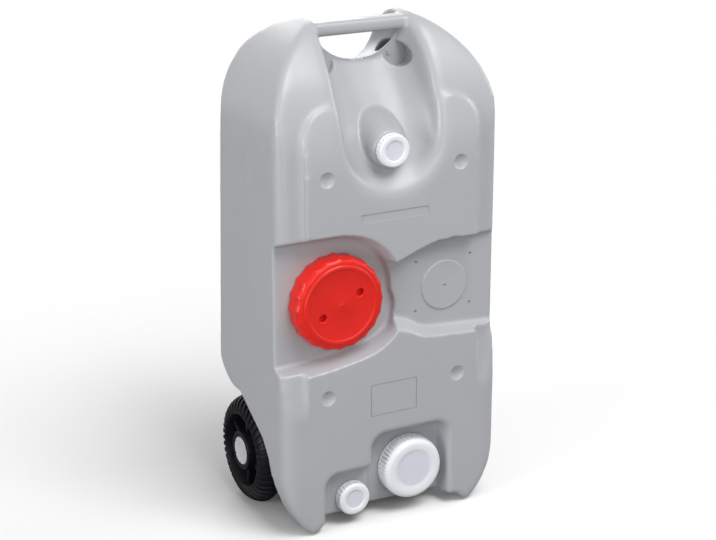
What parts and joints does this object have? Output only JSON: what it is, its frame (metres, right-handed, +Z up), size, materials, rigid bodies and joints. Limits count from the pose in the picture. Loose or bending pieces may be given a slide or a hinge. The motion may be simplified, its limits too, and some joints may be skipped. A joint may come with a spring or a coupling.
{
  "type": "wheeled water tank",
  "caption": "Upright blow-moulded water tank on wheels, with a moulded handle, a large screw-in inspection cap on the front, a filler cap in the saddle and drain caps at the foot.",
  "frame": {"origin": "on the floor, under the middle of the whole part's box", "axes": "+Z up, +X to the right as seen from the front, +Y from the front panel towards the back"},
  "size_m": [0.352, 0.2428, 0.7369],
  "materials": {
    "tank_grey": "satin moulded polyethylene",
    "axle_steel": "zinc plated",
    "wheel_black": "moulded, slightly worn",
    "hub_grey": "satin",
    "washer_zinc": "zinc plated",
    "retainer_steel": "spring steel",
    "cap_red": "satin",
    "cap_white": "satin",
    "seal_rubber": "matte"
  },
  "bodies": {
    "tank": {"tank_top": "tank_grey", "tank_middle": "tank_grey", "tank_foot": "tank_grey", "tank_back": "tank_grey", "inspection_collar": "tank_grey", "filler_collar": "tank_grey", "large_drain_collar": "tank_grey", "small_drain_collar": "tank_grey", "axle": "axle_steel", "inner_washer_left": "washer_zinc", "inner_washer_right": "washer_zinc", "outer_washer_left": "washer_zinc", "outer_washer_right": "washer_zinc", "retainer_left": "retainer_steel", "retainer_right": "retainer_steel"},
    "left_wheel": {"wheel_left": "wheel_black", "hub_cap_left": "hub_grey"},
    "right_wheel": {"wheel_right": "wheel_black", "hub_cap_right": "hub_grey"},
    "inspection_seal": {"inspection_seal": "seal_rubber"},
    "inspection_cap": {"inspection_cap": "cap_red"},
    "filler_seal": {"filler_seal": "seal_rubber"},
    "filler_cap": {"filler_cap": "cap_white"},
    "large_drain_seal": {"large_drain_seal": "seal_rubber"},
    "large_drain_cap": {"large_drain_cap": "cap_white"},
    "small_drain_seal": {"small_drain_seal": "seal_rubber"},
    "small_drain_cap": {"small_drain_cap": "cap_white"}
  },
  "joints": [
    {"name": "left_wheel_roll", "type": "hinge", "parent": "tank", "child": "left_wheel", "pos_m": [-0.152, 0.0394, 0.082], "axis": [1, 0, 0], "continuous": true},
    {"name": "right_wheel_roll", "type": "hinge", "parent": "tank", "child": "right_wheel", "pos_m": [0.152, 0.0394, 0.082], "axis": [1, 0, 0], "continuous": true},
    {"name": "inspection_lift", "type": "slide", "parent": "tank", "child": "inspection_seal", "axis": [0, -1, 0], "range_m": [0, 0.0152]},
    {"name": "inspection_turn", "type": "hinge", "parent": "inspection_seal", "child": "inspection_cap", "pos_m": [-0.084, -0.0896, 0.349], "axis": [0, -1, 0], "range_deg": [0, 1080]},
    {"name": "filler_lift", "type": "slide", "parent": "tank", "child": "filler_seal", "axis": [0, -1, 0], "range_m": [0, 0.0062]},
    {"name": "filler_turn", "type": "hinge", "parent": "filler_seal", "child": "filler_cap", "pos_m": [0, -0.1066, 0.562], "axis": [0, -1, 0], "range_deg": [0, 720]},
    {"name": "large_drain_lift", "type": "slide", "parent": "tank", "child": "large_drain_seal", "axis": [0, -1, 0], "range_m": [0, 0.0122]},
    {"name": "large_drain_turn", "type": "hinge", "parent": "large_drain_seal", "child": "large_drain_cap", "pos_m": [0.037, -0.0896, 0.07], "axis": [0, -1, 0], "range_deg": [0, 1080]},
    {"name": "small_drain_lift", "type": "slide", "parent": "tank", "child": "small_drain_seal", "axis": [0, -1, 0], "range_m": [0, 0.0092]},
    {"name": "small_drain_turn", "type": "hinge", "parent": "small_drain_seal", "child": "small_drain_cap", "pos_m": [-0.06, -0.0986, 0.041], "axis": [0, -1, 0], "range_deg": [0, 1080]}
  ],
  "couplings": [
    {"joint": "inspection_lift", "follows": "inspection_turn", "m_per_rad": 0.00079577},
    {"joint": "filler_lift", "follows": "filler_turn", "m_per_rad": 0.00047746},
    {"joint": "large_drain_lift", "follows": "large_drain_turn", "m_per_rad": 0.00063662},
    {"joint": "small_drain_lift", "follows": "small_drain_turn", "m_per_rad": 0.00047746}
  ]
}
